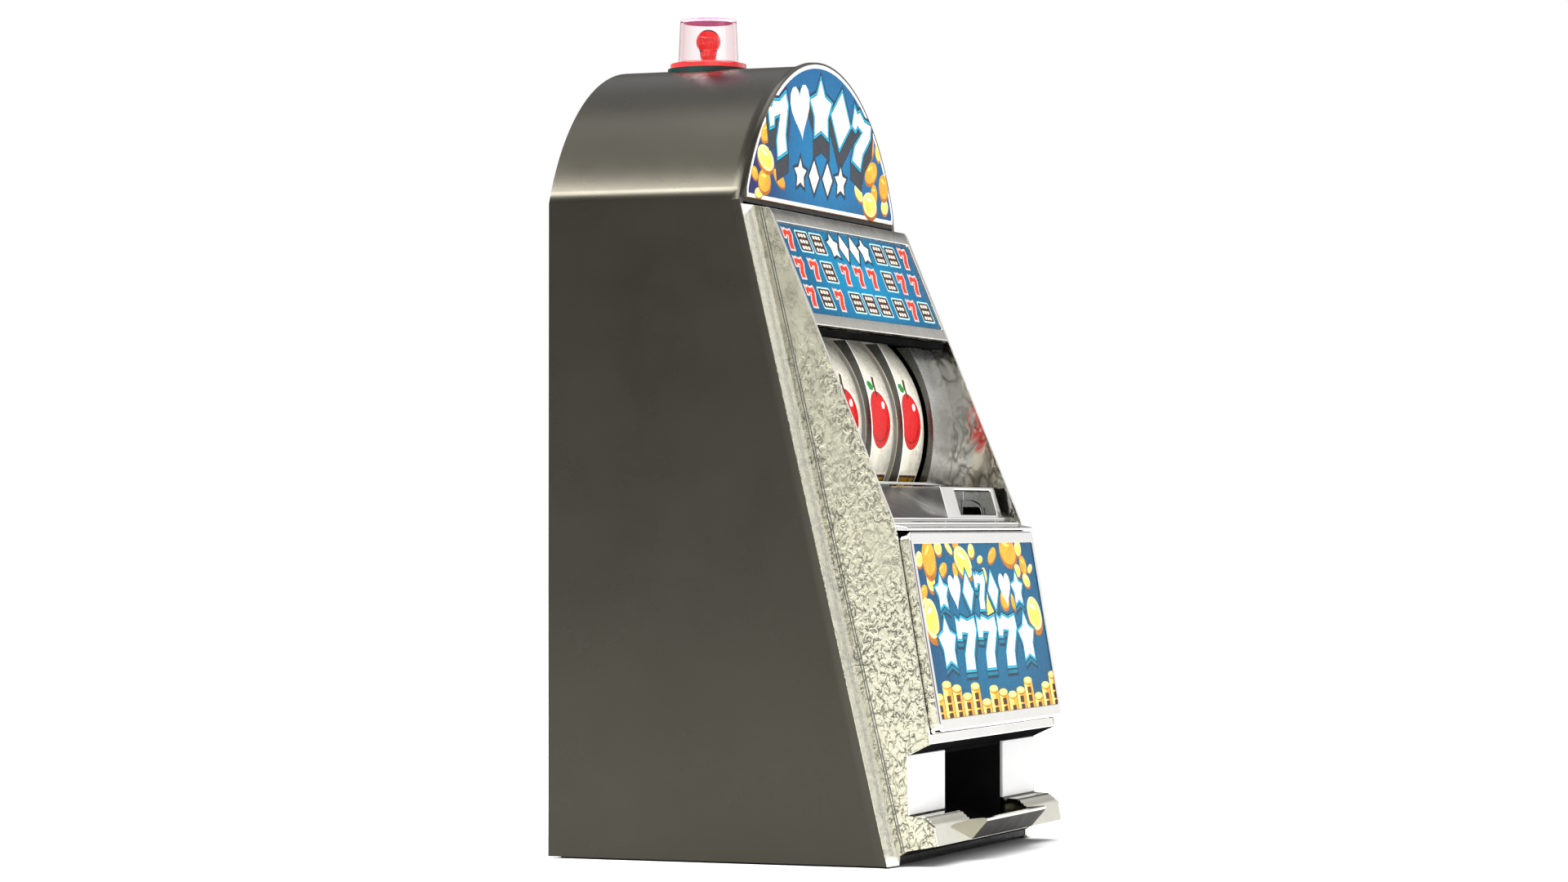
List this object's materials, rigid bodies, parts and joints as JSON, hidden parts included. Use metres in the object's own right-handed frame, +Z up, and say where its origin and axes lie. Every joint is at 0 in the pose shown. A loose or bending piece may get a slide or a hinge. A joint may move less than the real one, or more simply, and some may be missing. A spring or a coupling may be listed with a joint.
{
  "type": "toy slot machine savings bank",
  "caption": "Arched tabletop slot machine savings bank with spinning reels behind a curved mask, side pull lever, coin slot, payout tray, printed panels and a lamp on top.",
  "frame": {"origin": "middle of the base plate's underside, on the surface the bank stands on", "axes": "+Z up, +X towards the pull lever's side, -Y towards the front"},
  "size_m": [0.2263, 0.1832, 0.375],
  "materials": {
    "cabinet_paint": "satin dark olive metallic paint",
    "black_plastic": "black moulded plastic",
    "rubber_pad": "flush rubber feet",
    "hammered_nickel": "nickel-look plating with a fine hammered texture",
    "chrome_trim": "bright smooth plating",
    "printed_panel": "printed glossy panel",
    "white_panel": "smooth pale panel",
    "reel_strip": "cream printed reel strip on a moulded drum",
    "ratchet_plastic": "dark moulded plastic",
    "lamp_red": "clear red moulded lens",
    "bulb_red": "red lacquered bulb",
    "gasket_green": "dark green gasket",
    "steel": "plain steel",
    "brass_contact": "sprung brass contacts",
    "knob_red": "glossy moulded ball",
    "board_green": "circuit board",
    "cell_wrap": "plain wrapped cells"
  },
  "bodies": {
    "cabinet": {"cabinet_shell": "cabinet_paint", "base_plate": "black_plastic", "foot_pads": "rubber_pad", "left_cheek": "hammered_nickel", "right_cheek": "hammered_nickel", "paytable_frame": "chrome_trim", "paytable_panel": "printed_panel", "window_header": "black_plastic", "reel_mask": "chrome_trim", "sill": "chrome_trim", "coin_block": "chrome_trim", "coin_guide": "chrome_trim", "belly_frame": "chrome_trim", "belly_panel": "printed_panel", "belly_lip": "chrome_trim", "payout_panels": "white_panel", "payout_chute": "black_plastic", "flap_pin": "steel", "coin_tray": "chrome_trim", "topper_rim": "chrome_trim", "topper_panel": "printed_panel", "bulkhead": "black_plastic", "lamp_gasket": "gasket_green", "lamp_lens": "lamp_red", "lamp_socket": "black_plastic", "lamp_bulb": "bulb_red", "mechanism_shelf": "black_plastic", "mechanism_plate_left": "steel", "mechanism_plate_right": "steel", "reel_axle": "steel", "axle_clips": "steel", "detent_springs": "steel", "lever_boss": "chrome_trim", "lever_spring": "steel", "coin_chute": "black_plastic", "rear_cover": "black_plastic", "door_pin": "steel", "battery_box": "black_plastic", "batteries": "cell_wrap", "battery_contacts": "brass_contact", "speaker": "black_plastic", "circuit_board": "board_green", "screws": "steel"},
    "reel_left": {"reel_1": "reel_strip", "reel_ratchet_1": "ratchet_plastic"},
    "reel_centre": {"reel_2": "reel_strip", "reel_ratchet_2": "ratchet_plastic"},
    "reel_right": {"reel_3": "reel_strip", "reel_ratchet_3": "ratchet_plastic"},
    "lever": {"lever_shaft": "steel", "lever_hub": "chrome_trim", "lever_arm": "chrome_trim", "lever_knob": "knob_red", "kickers": "ratchet_plastic", "spring_collar": "ratchet_plastic"},
    "flap": {"payout_flap": "black_plastic"},
    "coin_door": {"coin_door": "black_plastic"},
    "door_lock": {"door_lock": "chrome_trim"},
    "battery_door": {"battery_door": "black_plastic"}
  },
  "joints": [
    {"name": "reel_left_spin", "type": "hinge", "parent": "cabinet", "child": "reel_left", "pos_m": [-0.0457, 0.014, 0.1875], "axis": [1, 0, 0], "continuous": true},
    {"name": "reel_centre_spin", "type": "hinge", "parent": "cabinet", "child": "reel_centre", "pos_m": [-0.0044, 0.014, 0.1875], "axis": [1, 0, 0], "continuous": true},
    {"name": "reel_right_spin", "type": "hinge", "parent": "cabinet", "child": "reel_right", "pos_m": [0.0369, 0.014, 0.1875], "axis": [1, 0, 0], "continuous": true},
    {"name": "lever_pull", "type": "hinge", "parent": "cabinet", "child": "lever", "pos_m": [0.11, 0.014, 0.118], "axis": [1, 0, 0], "range_deg": [0, 58], "stiffness_Nm_per_rad": 0.15, "springref_deg": -17.19},
    {"name": "flap_swing", "type": "hinge", "parent": "cabinet", "child": "flap", "pos_m": [0, -0.052, 0.0425], "axis": [-1, 0, 0], "range_deg": [0, 55]},
    {"name": "coin_door_swing", "type": "hinge", "parent": "cabinet", "child": "coin_door", "pos_m": [-0.046, 0.0754, 0.041], "axis": [0, 0, 1], "range_deg": [0, 100]},
    {"name": "door_lock_turn", "type": "hinge", "parent": "coin_door", "child": "door_lock", "pos_m": [0.037, 0.0767, 0.041], "axis": [0, 1, 0], "range_deg": [0, 90]},
    {"name": "battery_door_slide", "type": "slide", "parent": "cabinet", "child": "battery_door", "axis": [0, 0, -1], "range_m": [0, 0.02]}
  ]
}
